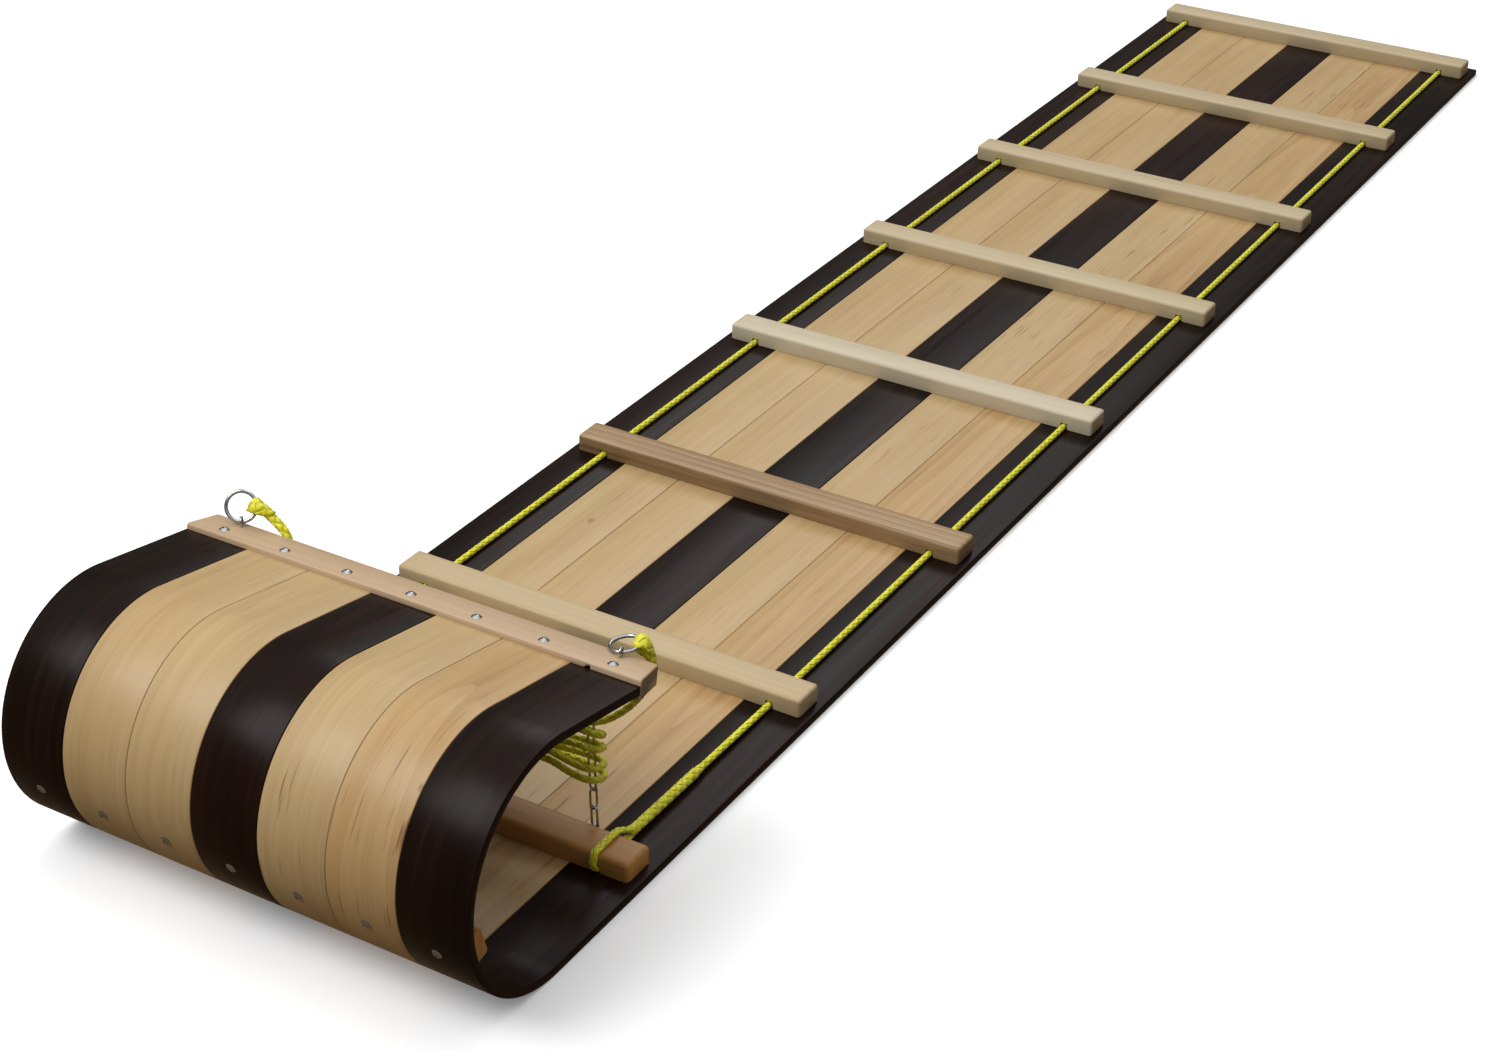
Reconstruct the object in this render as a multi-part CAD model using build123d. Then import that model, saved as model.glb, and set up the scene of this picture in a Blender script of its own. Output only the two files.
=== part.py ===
from build123d import *
import math
import os

# Eight-foot wooden toboggan. Millimetres. +X right, +Y towards the tail, +Z up.
# The origin is on the ground, under the middle of the sled's box.

# Deck
deck_width = 457.2
slat_count = 7
slat_gap = 0.4
slat_thick = 8.0
nose_radius = 108.5          # outside of the bend
nose_turn = 190.5            # degrees that the slats turn through
nose_run = 105.0             # straight run from the bend to the head bar's front edge

# Crossbars
crossbar_count = 7
bar_pitch = 304.8            # front face to front face
first_gap = 275.0            # toe bar's front face to the next crossbar's
toe_setback = 112.0          # start of the flat deck to the toe bar's front face
tail_margin = 14.0           # deck behind the last crossbar
bar_inset = 8.0              # deck edge to the crossbar's end
bar_deep = 34.0
bar_high = 18.0
bar_round = 3.0
notch_inset = 39.6           # deck edge to the middle of a rope notch
rope_clear = 0.3             # between a side rope and what it runs through
notch_side = 0.85            # room each side of the rope in its notch

# Nose bar, inside the bend
nose_bar_deep = 28.0
nose_bar_high = 18.0
nose_bar_drop = 16.0         # degrees below the bend's middle
nose_bar_fit = 0.1
nose_bar_spare = 4.0         # cut away again to the bend's curve

# Head bar, on the slats' ends
head_bar_deep = 34.0
head_bar_high = 18.0
head_lip = 5.4               # wood above the slats
groove_deep = 20.0
groove_end_gap = 0.3
groove_under_gap = 0.2
head_bar_taper = 5.6         # each end is this much shorter at the back
head_bar_round = 1.2

# Screws
screw_radius = 1.9
screw_clear = 0.1
dome_radius = 4.6
dome_high = 2.2
dome_seat = 0.05
cross_long = 4.4             # driver's cross in a domed head
cross_wide = 0.9
cross_deep = 1.2
head_screw_back = 10.0       # from the head bar's front edge
head_screw_long = 15.5
nose_screw_long = 20.0
sunk_radius = 3.8
sunk_deep = 2.6
sunk_below = 0.3             # head under the slat's face
deck_screw_long = 19.0
edge_screw_shift = 10.0      # outer slats' screws sit this far outside their slat's middle

# Screw eyes
eye_wire = 1.2               # radius
eye_loop = 4.1               # radius of the wire's middle line
eye_shank = 11.0
eye_clear = 0.1
ring_eye_inset = 36.6        # deck edge to the tow rings' eyes
ring_eye_back = 27.0         # from the head bar's front edge
ring_eye_lift = 3.2          # middle of the eye above the wood

# Tow rings: turn of the eye about the vertical, rise of its axis, and lean back from upright
ring_radius = 13.0
ring_wire = 1.5
ring_set = {"left": (31.0, 0.0, 30.0), "right": (16.0, 8.0, 92.0)}

# Chains
chain_inset = 65.6           # deck edge to a chain
link_count = 8
link_wire = 1.0
link_half_width = 3.5
link_slack = 0.1
link_turn = 76.0             # degrees about the chain, of the top link
chain_eye_stand = 4.6        # middle of the eye from the wood

# Rope
rope_radius = 3.15
stopper_radius = 6.0
stopper_long = 12.5
splice_throat = 6.4          # radius where the two legs of an eye meet
splice_neck = 4.4
splice_neck_run = 25.0
splice_run = 115.0
splice_back = 16.0           # from the toe bar's back to the splice
leg_apart = 3.25             # half the distance between the two legs at the splice
rear_bend = 19.0             # of the eye's upper leg, behind the toe bar
rear_high = 2.0              # how far that bend's corner is above the rope on the bar
eye_bend = 5.4               # of the eye, round the toe bar's front
eye_front_clear = 1.8        # the eye's front leg to the toe bar
knot_radius = 5.0
knot_half = 6.5
knot_bore_clear = 0.1
lead_first_run = 16.0        # straight out of the knot

# Pull rope's hank, round both chains
hank_rise = 58.0             # above the deck, at its ends
hank_high = 59.0
hank_sag = 12.0
hank_squeeze = 10.0          # how much less high it is at its middle
hank_turn = 9.5              # rope's middle line from the chain
hank_spare = 10.0            # cut away again to its outline

# Places worked out from the sizes above
half_width = deck_width / 2
slat_pitch = deck_width / slat_count
sled_length = (nose_radius + toe_setback + first_gap + (crossbar_count - 1) * bar_pitch
               + bar_deep + tail_margin)
nose_y = -sled_length / 2
tail_y = sled_length / 2
bend_y = nose_y + nose_radius
inner_radius = nose_radius - slat_thick
lean = math.radians(nose_turn - 180)
run_y, run_z = math.cos(lean), -math.sin(lean)            # along the slats, towards the head bar
bend_end = (bend_y + nose_radius * math.sin(lean), nose_radius * (1 + math.cos(lean)))
lip = (bend_end[0] + nose_run * run_y, bend_end[1] + nose_run * run_z)
toe_y = bend_y + toe_setback
crossbar_front = [toe_y + first_gap + k * bar_pitch for k in range(crossbar_count)][::-1]
bar_long = deck_width - 2 * bar_inset
notch_x = half_width - notch_inset
notch_wide = 2 * (rope_radius + notch_side)
notch_high = 2 * (rope_radius + rope_clear)
slat_mid = [(k + 0.5) * slat_pitch - half_width for k in range(slat_count)]
rope_z = slat_thick + rope_clear + rope_radius
sides = {"left": -1, "right": 1}


def save(shape, name):
    export_step(shape, f"parts/{name}.step")


def group(solids):
    return Compound(children=list(solids))


def bar_point(x, back, up):
    """A point from the head bar's front edge: back along the slats, up from the slats' top."""
    return Vector(x, lip[0] + back * run_y - up * run_z, lip[1] + back * run_z + up * run_y)


bar_up = Vector(0, -run_z, run_y)


def arc_radii(points, share=0.45):
    """Each corner's largest arc: a share of its shorter run, over the tangent of half the turn."""
    radii = []
    for before, here, after in zip(points, points[1:], points[2:]):
        first, second = here - before, after - here
        half_turn = math.radians(first.get_angle(second)) / 2
        radii.append(share * min(first.length, second.length) / math.tan(half_turn))
    return radii


def rope_tube(name, points, radii=None):
    """A rope's tube along straight runs and arcs, as large as its runs allow where none are given."""
    points = [Vector(*p) for p in points]
    radii = radii or arc_radii(points)
    path = FilletPolyline(*points, radius=radii)
    solid = sweep(Plane(origin=path @ 0, z_dir=path % 0) * Circle(rope_radius), path)
    ideal = math.pi * rope_radius ** 2 * path.length
    print(name, "length", round(path.length, 1), "radii", [round(r) for r in radii],
          "volume ratio", round(solid.volume / ideal, 4))
    return solid


def shank(start, direction, length, radius):
    return Plane(origin=start, z_dir=direction) * extrude(Circle(radius), length)


# Screws
def domed_screw(seat, inward, length, extra=0.0):
    """A domed head on the wood and a shank into it. Extra widens the shank for its hole."""
    frame = Plane(origin=seat, z_dir=-inward)
    body = frame * Pos(0, 0, -length) * extrude(Circle(screw_radius + extra), length + dome_seat)
    if extra:
        return body
    ball_radius = (dome_radius ** 2 + dome_high ** 2) / (2 * dome_high)
    ball = Pos(0, 0, dome_high + dome_seat - ball_radius) * Sphere(ball_radius)
    cap = ball & (Pos(0, 0, dome_seat) * extrude(Circle(dome_radius + 1), dome_high + 1))
    cross = Box(cross_long, cross_wide, 2 * cross_deep) + Box(cross_wide, cross_long, 2 * cross_deep)
    cap -= Pos(0, 0, dome_high + dome_seat) * cross
    return body + frame * cap


def sunk_screw(x, y, extra=0.0):
    """A flat head sunk into a slat's underside, with its shank up into the crossbar."""
    rim = sunk_radius + extra * (1 + sunk_radius / sunk_deep)
    cone = Pos(x, y, sunk_below + sunk_deep / 2) * Cone(rim, screw_radius + extra, sunk_deep)
    body = Pos(x, y, sunk_below) * extrude(Circle(screw_radius + extra), deck_screw_long + extra)
    if not extra:
        return cone + body
    return cone + body + Pos(x, y, 0) * extrude(Circle(rim), sunk_below)


def deck_screw_x(k):
    outward = {0: -1, slat_count - 1: 1}.get(k, 0)
    return slat_mid[k] + outward * edge_screw_shift


head_seats = [bar_point(x, head_screw_back, head_lip) for x in slat_mid]
drop = math.radians(nose_bar_drop)
nose_out = Vector(0, -math.cos(drop), -math.sin(drop))
bend_middle = Vector(0, bend_y, nose_radius)
nose_seats = [Vector(x, 0, 0) + bend_middle + nose_out * nose_radius for x in slat_mid]
bar_mids = [toe_y + bar_deep / 2] + [y + bar_deep / 2 for y in crossbar_front]


# Slats
def slat_blank():
    """Outline of a slat from the side: flat deck, bend, and the run up to the head bar's groove."""
    slat_end = nose_run + groove_deep - groove_end_gap
    turned = 90 - math.degrees(lean)
    tip_out = Vector(bend_end[0] + slat_end * run_y, bend_end[1] + slat_end * run_z)
    tip_in = tip_out - Vector(-run_z, run_y) * slat_thick
    inner_end = Vector(bend_y + inner_radius * math.sin(lean),
                       nose_radius + inner_radius * math.cos(lean))
    middle = (bend_y, nose_radius)
    outline = Wire([
        Line((tail_y, 0), (bend_y, 0)),
        CenterArc(middle, nose_radius, 270, turned - 270),
        Line(bend_end, (tip_out.X, tip_out.Y)),
        Line((tip_out.X, tip_out.Y), (tip_in.X, tip_in.Y)),
        Line((tip_in.X, tip_in.Y), (inner_end.X, inner_end.Y)),
        CenterArc(middle, inner_radius, turned, 270 - turned),
        Line((bend_y, slat_thick), (tail_y, slat_thick)),
        Line((tail_y, slat_thick), (tail_y, 0)),
    ])
    return Plane.YZ * make_face(outline)


slat_face = slat_blank()


def slat(k):
    low = -half_width + k * slat_pitch + (slat_gap / 2 if k else 0)
    high = -half_width + (k + 1) * slat_pitch - (slat_gap / 2 if k < slat_count - 1 else 0)
    body = Pos(low, 0, 0) * extrude(slat_face, high - low)
    for y in bar_mids:
        body -= sunk_screw(deck_screw_x(k), y, screw_clear)
    body -= domed_screw(nose_seats[k], -nose_out, nose_screw_long, screw_clear)
    body -= domed_screw(head_seats[k], -bar_up, head_screw_long, screw_clear)
    return body


# Bars
def crossbar(front_y):
    """A bar across the deck, rounded on top, with a notch at each end for a side rope."""
    body = Pos(0, front_y + bar_deep / 2, slat_thick + bar_high / 2) * Box(bar_long, bar_deep, bar_high)
    above = body.edges().filter_by(lambda e: e.center().Z > slat_thick + 0.1)
    body = fillet(above, bar_round)
    for side in sides.values():
        room = Box(notch_wide, bar_deep + 2, 2 * notch_high)
        body -= Pos(side * notch_x, front_y + bar_deep / 2, slat_thick) * room
    for k in range(slat_count):
        body -= sunk_screw(deck_screw_x(k), front_y + bar_deep / 2, screw_clear)
    return body


def toe_bar():
    body = crossbar(toe_y)
    for side in sides.values():
        body -= foot_eye(side, eye_clear)
    return body


def nose_bar():
    """A bar shaped to the inside of the bend."""
    reach = inner_radius - nose_bar_fit
    middle = bend_middle + nose_out * (reach - (nose_bar_high - nose_bar_spare) / 2)
    frame = Plane(origin=middle, x_dir=(1, 0, 0), z_dir=nose_out)
    body = frame * Box(bar_long, nose_bar_deep, nose_bar_high + nose_bar_spare)
    inward = body.edges().filter_by(Axis.X).sort_by(
        lambda e: (e.center() - bend_middle).length)[0:2]
    body = fillet(inward, bar_round)
    drum = Pos(0, bend_y, nose_radius) * Rot(0, 90, 0) * Cylinder(reach, deck_width)
    body = body & drum
    for seat in nose_seats:
        body -= domed_screw(seat, -nose_out, nose_screw_long, screw_clear)
    return body


def head_bar():
    """The bar on the slats' ends, with a groove along its front that they sit in."""
    back = half_width - head_bar_taper
    plan = Polyline((-half_width, 0), (half_width, 0), (back, head_bar_deep),
                    (-back, head_bar_deep), close=True)
    frame = Plane(origin=bar_point(0, 0, head_lip - head_bar_high), x_dir=(1, 0, 0), z_dir=bar_up)
    body = frame * extrude(make_face(plan), head_bar_high)
    top = bar_point(0, 0, head_lip).dot(bar_up)
    rim = body.edges().filter_by(lambda e: e.center().dot(bar_up) > top - 0.01)
    body = fillet(rim, head_bar_round)
    groove_high = slat_thick + groove_under_gap
    room = Box(deck_width + 2, 2 * groove_deep, groove_high)
    body -= Plane(origin=bar_point(0, 0, -groove_high / 2), x_dir=(1, 0, 0), z_dir=bar_up) * room
    for seat in head_seats:
        body -= domed_screw(seat, -bar_up, head_screw_long, screw_clear)
    for name in sides:
        body -= ring_eye(name, eye_clear)
        body -= top_eye(sides[name], eye_clear)
    return body


# Screw eyes and tow rings
def screw_eye(middle, across, into, stand, extra=0.0):
    """A loop whose hole runs across, and its shank into the wood. Stand: loop to the wood."""
    loop = Plane(origin=middle, z_dir=across) * Torus(eye_loop, eye_wire + extra)
    stem_start = middle + into * eye_loop
    stem = shank(stem_start, into, stand - eye_loop + eye_shank, eye_wire + extra)
    return loop + stem


def ring_axes(name):
    """The hinge's axis through the eye, and the way from the eye to the ring's middle."""
    turn, rise, back_lean = (math.radians(a) for a in ring_set[name])
    axis = Vector(math.cos(rise) * math.cos(turn), math.cos(rise) * math.sin(turn), math.sin(rise))
    behind = Vector(-math.sin(turn), math.cos(turn), 0)
    upright = axis.cross(behind)
    return axis, upright * math.cos(back_lean) + behind * math.sin(back_lean)


def ring_pivot(name):
    x = sides[name] * (half_width - ring_eye_inset)
    return bar_point(x, ring_eye_back, head_lip + ring_eye_lift)


def ring_eye(name, extra=0.0):
    turn = math.radians(ring_set[name][0])
    across = Vector(math.cos(turn), math.sin(turn), 0)
    into = (bar_up - across * bar_up.dot(across)).normalized() * -1
    return screw_eye(ring_pivot(name), across, into, ring_eye_lift, extra)


def tow_ring(name):
    axis, reach = ring_axes(name)
    middle = ring_pivot(name) + reach * ring_radius
    return Plane(origin=middle, z_dir=axis.cross(reach)) * Torus(ring_radius, ring_wire)


def knot_place(name):
    """Middle of the pull rope's knot, on the ring's side, and the way the rope leaves it."""
    axis, reach = ring_axes(name)
    middle = ring_pivot(name) + reach * ring_radius + axis * ring_radius
    leave = {"left": Vector(0.90, 0.22, -0.37), "right": Vector(0.30, 0.42, -0.86)}[name]
    return middle, leave.normalized()


def ring_knot(name):
    middle, leave = knot_place(name)
    frame = Plane(origin=middle, z_dir=leave)
    body = frame * extrude(Circle(knot_radius), knot_half, both=True)
    body = fillet(body.edges().filter_by(GeomType.CIRCLE), knot_radius - rope_radius - 0.2)
    axis, reach = ring_axes(name)
    ring_middle = ring_pivot(name) + reach * ring_radius
    hole = Torus(ring_radius, ring_wire + knot_bore_clear)
    return body - Plane(origin=ring_middle, z_dir=axis.cross(reach)) * hole


# Chains
def top_middle(side):
    return bar_point(side * (half_width - chain_inset), ring_eye_back,
                     head_lip - head_bar_high - chain_eye_stand)


def foot_middle(side):
    return Vector(side * (half_width - chain_inset), toe_y + bar_deep + chain_eye_stand,
                  slat_thick + bar_high / 2)


def flat_way(degrees):
    return Vector(math.cos(math.radians(degrees)), math.sin(math.radians(degrees)), 0)


def top_eye(side, extra=0.0):
    return screw_eye(top_middle(side), flat_way(link_turn), bar_up, chain_eye_stand, extra)


def foot_eye(side, extra=0.0):
    return screw_eye(foot_middle(side), Vector(1, 0, 0), Vector(0, -1, 0), chain_eye_stand, extra)


def chain(side):
    """Straight links from eye to eye, each turned a quarter from the last."""
    top, foot = top_middle(side), foot_middle(side)
    down = (foot - top).normalized()
    in_eye = eye_loop - eye_wire - link_wire - link_slack
    overlap = 2 * link_wire + link_slack
    span = (foot - top).length - 2 * in_eye
    link_long = (span + (link_count - 1) * overlap) / link_count
    links = []
    for k in range(link_count):
        middle = top + down * (in_eye + link_long / 2 + k * (link_long - overlap))
        wide = flat_way(link_turn - 90 * (k % 2))
        wide = (wide - down * wide.dot(down)).normalized()
        frame = Plane(origin=middle, x_dir=wide, z_dir=wide.cross(down))
        half = link_long / 2 - link_half_width
        loop = Wire([
            Line((link_half_width, -half), (link_half_width, half)),
            CenterArc((0, half), link_half_width, 0, 180),
            Line((-link_half_width, half), (-link_half_width, -half)),
            CenterArc((0, -half), link_half_width, 180, 180),
        ])
        section = Plane(origin=(link_half_width, 0, 0), z_dir=(0, 1, 0)) * Circle(link_wire)
        links.append(frame * sweep(section, loop))
    return group(links)


# Side ropes
splice_y = toe_y + bar_deep + splice_back
splice_z = rope_z + leg_apart
last_bar_back = crossbar_front[0] + bar_deep
rope_start_y = splice_y + splice_run


def rope_lift(y):
    """Height of the side rope's middle between the splice and the first notch it meets."""
    level_y = crossbar_front[-1]
    return rope_z + (splice_z - rope_z) * max(0.0, (level_y - y) / (level_y - splice_y))


def side_rope(side):
    """The taut rope, from the splice's thin end, through each notch, to its stopper knot."""
    x = side * notch_x
    points = [Vector(x, rope_start_y, rope_lift(rope_start_y)),
              Vector(x, crossbar_front[-1], rope_z),
              Vector(x, last_bar_back + rope_clear, rope_z)]
    return rope_tube("side_rope", points)


def side_splice(side):
    """The rope's end tucked back into itself, thick at the eye and thinning to one rope."""
    start = Vector(side * notch_x, splice_y, splice_z)
    finish = Vector(side * notch_x, rope_start_y, rope_lift(rope_start_y))
    along = (finish - start).normalized()
    sections = [(0, splice_throat), (splice_neck_run, splice_neck),
                ((finish - start).length, rope_radius)]
    rings = [Plane(origin=start + along * run, z_dir=along) * Circle(r) for run, r in sections]
    return loft(rings, ruled=True)


def side_eye(side):
    """The loop round the toe bar: over its top, down its front, and back through the notch."""
    x = side * notch_x
    off = rope_radius + rope_clear
    over = slat_thick + bar_high + off
    front_y = toe_y - rope_radius - eye_front_clear
    points = [(splice_y, splice_z + leg_apart), (toe_y + bar_deep, over + rear_high), (front_y, over),
              (front_y, rope_z), (splice_y, rope_z)]
    return rope_tube("side_rope_eye", [(x, y, z) for y, z in points], [rear_bend, eye_bend, eye_bend])


def side_stopper(side):
    frame = Plane(origin=(side * notch_x, last_bar_back + rope_clear, slat_thick + stopper_radius + 0.2),
                  z_dir=(0, 1, 0))
    body = frame * extrude(Circle(stopper_radius), stopper_long)
    return fillet(body.edges().filter_by(GeomType.CIRCLE), 1.5)


# Pull rope
chain_x = half_width - chain_inset
hank_y = (top_middle(1).Y + foot_middle(1).Y) / 2
hank_low = slat_thick + hank_rise
hank_top = hank_low + hank_high


def hank():
    """Outer shape of the loose turns round both chains: a long band, lower at its middle."""
    outer = hank_turn + rope_radius
    inner = hank_turn - rope_radius
    long = 2 * chain_x
    plan = SlotCenterToCenter(long, 2 * outer) - SlotCenterToCenter(long, 2 * inner)
    band = Pos(0, hank_y, 0) * extrude(plan, hank_top + hank_spare)
    end_x = chain_x + outer + hank_spare
    low_arc = ThreePointArc((-end_x, hank_low), (0, hank_low - hank_sag), (end_x, hank_low))
    top_arc = ThreePointArc((end_x, hank_top), (0, hank_top - hank_sag - hank_squeeze),
                            (-end_x, hank_top))
    outline = Wire([low_arc, Line((end_x, hank_low), (end_x, hank_top)), top_arc,
                    Line((-end_x, hank_top), (-end_x, hank_low))])
    back_y = hank_y + outer + hank_spare
    side_face = Plane(origin=(0, back_y, 0), x_dir=(1, 0, 0), z_dir=(0, -1, 0))
    return band & extrude(side_face * make_face(outline), 2 * (outer + hank_spare))


def lead(name):
    """The rope from its knot on a ring, over the head bar's back edge, down into the hank."""
    middle, leave = knot_place(name)
    start = middle + leave * knot_half
    first = start + leave * lead_first_run
    back, up = lip[0] + head_bar_deep, lip[1]
    if name == "right":
        route = [(chain_x + 41.5, back + 10, up - 35), (chain_x + 31.5, back + 6, up - 52),
                 (chain_x + 17.5, back + 3, up - 66), (chain_x + 4, back + 1, up - 76)]
    else:
        route = [(16.5 - chain_x, back + 10.5, up - 6), (21.5 - chain_x, back + 9, up - 21),
                 (19.5 - chain_x, back + 6.5, up - 40), (13 - chain_x, back + 4, up - 58),
                 (5.5 - chain_x, back + 2, up - 77)]
    return rope_tube(f"pull_rope_lead_{name}", [start, first] + route)


# Build
os.makedirs("parts", exist_ok=True)
for k in range(slat_count):
    save(slat(k), f"slat_{k + 1}")
for k, front in enumerate(crossbar_front):
    save(crossbar(front), f"crossbar_{k + 1}")
save(toe_bar(), "toe_bar")
save(nose_bar(), "nose_bar")
save(head_bar(), "head_bar")
save(group(sunk_screw(deck_screw_x(k), y) for y in bar_mids for k in range(slat_count)), "crossbar_screws")
save(group(domed_screw(s, -nose_out, nose_screw_long) for s in nose_seats), "nose_bar_screws")
save(group(domed_screw(s, -bar_up, head_screw_long) for s in head_seats), "head_bar_screws")
for name, side in sides.items():
    save(tow_ring(name), f"tow_ring_{name}")
    save(ring_eye(name), f"ring_eye_{name}")
    save(ring_knot(name), f"ring_knot_{name}")
    save(chain(side), f"chain_{name}")
    save(top_eye(side), f"chain_top_eye_{name}")
    save(foot_eye(side), f"chain_foot_eye_{name}")
    save(side_rope(side), f"side_rope_{name}")
    save(side_splice(side), f"side_rope_splice_{name}")
    save(side_eye(side), f"side_rope_eye_{name}")
    save(side_stopper(side), f"side_rope_knot_{name}")
    save(lead(name), f"pull_rope_lead_{name}")
save(hank(), "pull_rope_hank")
for name in sides:
    axis, reach = ring_axes(name)
    print("hinge", name, tuple(ring_pivot(name)), tuple(axis))
print("length", sled_length, "lip", lip, "toe", toe_y, "crossbars", crossbar_front)
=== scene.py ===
import bmesh
import bpy
import math
from mathutils import Matrix, Vector


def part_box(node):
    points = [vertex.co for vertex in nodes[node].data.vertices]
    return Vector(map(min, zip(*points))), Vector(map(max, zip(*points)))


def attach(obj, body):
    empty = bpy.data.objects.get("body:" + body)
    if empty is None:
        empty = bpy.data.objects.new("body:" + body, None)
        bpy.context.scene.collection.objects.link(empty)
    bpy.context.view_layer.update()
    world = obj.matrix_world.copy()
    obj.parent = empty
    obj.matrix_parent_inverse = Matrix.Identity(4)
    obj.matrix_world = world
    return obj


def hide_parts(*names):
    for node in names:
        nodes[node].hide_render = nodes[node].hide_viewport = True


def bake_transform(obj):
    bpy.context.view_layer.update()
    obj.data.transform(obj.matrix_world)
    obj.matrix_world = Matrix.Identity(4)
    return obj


# Eight-foot wooden toboggan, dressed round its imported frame. Metres, +Y towards the tail, +Z up.
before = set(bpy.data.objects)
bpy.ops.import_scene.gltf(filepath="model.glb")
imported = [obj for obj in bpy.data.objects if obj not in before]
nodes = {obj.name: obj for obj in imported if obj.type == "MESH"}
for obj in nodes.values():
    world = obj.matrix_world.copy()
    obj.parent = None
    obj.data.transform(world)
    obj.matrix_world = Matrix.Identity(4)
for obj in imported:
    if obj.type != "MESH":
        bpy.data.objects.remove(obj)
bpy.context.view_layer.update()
sides = {"left": -1, "right": 1}
print("frame loaded,", len(nodes), "nodes")

# Places that the pieces share
curl = {
    "turn": math.radians(190.5),  # how far the slats bend round
    "toBar": 0.105,               # straight run from the bend to the head bar's front edge
    "inBar": 0.0197,              # how far the slats go into its groove
}
slatLow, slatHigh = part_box("slat_1")
bendRadius = slatHigh.z / 2
bendY = slatLow.y + bendRadius
tailY = slatHigh.y
halfWidth = -slatLow.x
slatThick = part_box("crossbar_1")[0].z
lean = curl["turn"] - math.pi
runBack = Vector((0, math.cos(lean), -math.sin(lean)))
runUp = Vector((0, math.sin(lean), math.cos(lean)))
bendEnd = Vector((0, bendY, bendRadius)) + runUp * bendRadius
lip = bendEnd + runBack * curl["toBar"]
barNames = [f"crossbar_{k}" for k in range(1, 8)] + ["toe_bar"]
slatPitch = 2 * halfWidth / 7
slatMiddles = [(k + 0.5) * slatPitch - halfWidth for k in range(7)]


def barPoint(x, back, up):
    # from the head bar's front edge: back along the slats, up from their top
    return Vector((x, 0, 0)) + lip + runBack * back + runUp * up


# Camera
viewpoint = {
    "place": Vector((1.1727, -2.3824, 1.3446)),
    "azimuth": math.radians(30.812),
    "elevation": math.radians(30.418),
    "roll": math.radians(0.432),
    "lens": 64.55,
}


def makeCamera():
    azimuth, elevation, roll = (viewpoint[k] for k in ("azimuth", "elevation", "roll"))
    back = Vector((math.sin(azimuth) * math.cos(elevation), -math.cos(azimuth) * math.cos(elevation),
                   math.sin(elevation)))
    right = back.cross(Vector((0, 0, -1))).normalized()
    up = back.cross(right)
    tilted = right * math.cos(roll) + up * math.sin(roll)
    upright = up * math.cos(roll) - right * math.sin(roll)
    camera = bpy.data.objects.new("camera", bpy.data.cameras.new("camera"))
    turned = Matrix((tilted, upright, back)).transposed().to_4x4()
    camera.matrix_world = Matrix.Translation(viewpoint["place"]) @ turned
    camera.data.lens = viewpoint["lens"]
    camera.data.clip_start = 0.05
    bpy.context.scene.collection.objects.link(camera)
    bpy.context.scene.camera = camera


makeCamera()
print("camera placed")


# Small helpers for meshes and node trees
def newPiece(name, mesh, material=None, smooth=True):
    piece = bpy.data.objects.new(name, mesh)
    bpy.context.scene.collection.objects.link(piece)
    if material:
        mesh.materials.append(material)
    if smooth:
        mesh.shade_smooth()
    return piece


def meshFrom(name, points, faces, uvs=None):
    mesh = bpy.data.meshes.new(name)
    mesh.from_pydata([tuple(p) for p in points], [], faces)
    if uvs:
        layer = mesh.uv_layers.new(name="grain")
        for loop in mesh.loops:
            layer.data[loop.index].uv = uvs[loop.vertex_index]
    mesh.update()
    return mesh


def ringFaces(ringCount, ringSize, firstPoint=0, capped=True):
    # quads between rings of points, and a face over each end
    faces = []
    for i in range(ringCount - 1):
        for j in range(ringSize):
            a = firstPoint + i * ringSize + j
            b = firstPoint + i * ringSize + (j + 1) % ringSize
            faces.append((a, b, b + ringSize, a + ringSize))
    if capped:
        last = firstPoint + (ringCount - 1) * ringSize
        faces.append(tuple(range(firstPoint + ringSize - 1, firstPoint - 1, -1)))
        faces.append(tuple(range(last, last + ringSize)))
    return faces


def outward(mesh):
    work = bmesh.new()
    work.from_mesh(mesh)
    bmesh.ops.remove_doubles(work, verts=work.verts, dist=1e-7)
    bmesh.ops.recalc_face_normals(work, faces=work.faces)
    work.to_mesh(mesh)
    work.free()
    return mesh


def settle(piece):
    # the evaluated shape becomes the piece's own plain mesh
    bpy.context.view_layer.update()
    graph = bpy.context.evaluated_depsgraph_get()
    mesh = bpy.data.meshes.new_from_object(piece.evaluated_get(graph))
    piece.modifiers.clear()
    piece.data = mesh
    return piece


def crispSmooth(piece, degrees=35):
    piece.data.set_sharp_from_angle(angle=math.radians(degrees))
    return piece


def node(tree, kind, inputs=(), **settings):
    made = tree.nodes.new(kind)
    for key, value in settings.items():
        setattr(made, key, value)
    for key, value in dict(inputs).items():
        if isinstance(value, bpy.types.NodeSocket):
            tree.links.new(value, made.inputs[key])
        else:
            made.inputs[key].default_value = value
    return made


def maths(tree, operation, *values, clamp=False):
    made = node(tree, "ShaderNodeMath", enumerate(values), operation=operation, use_clamp=clamp)
    return made.outputs[0]


def ramp(tree, factor, stops):
    made = node(tree, "ShaderNodeValToRGB", {"Fac": factor})
    band = made.color_ramp
    while len(band.elements) < len(stops):
        band.elements.new(0.5)
    for element, (place, colour) in zip(band.elements, stops):
        element.position = place
        element.color = (*colour, 1)
    return made.outputs["Color"]


def blendColour(tree, factor, first, second, mode="MIX"):
    made = node(tree, "ShaderNodeMix", {"Factor": factor}, data_type="RGBA", blend_type=mode)
    for socket, value in ((made.inputs[6], first), (made.inputs[7], second)):
        if isinstance(value, bpy.types.NodeSocket):
            tree.links.new(value, socket)
        else:
            socket.default_value = (*value, 1)
    return made.outputs[2]


def newMaterial(name, fixed):
    material = bpy.data.materials.new(name)
    material.use_nodes = True
    shader = material.node_tree.nodes["Principled BSDF"]
    for socket, value in fixed.items():
        shader.inputs[socket].default_value = value
    return material, material.node_tree, shader


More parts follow.
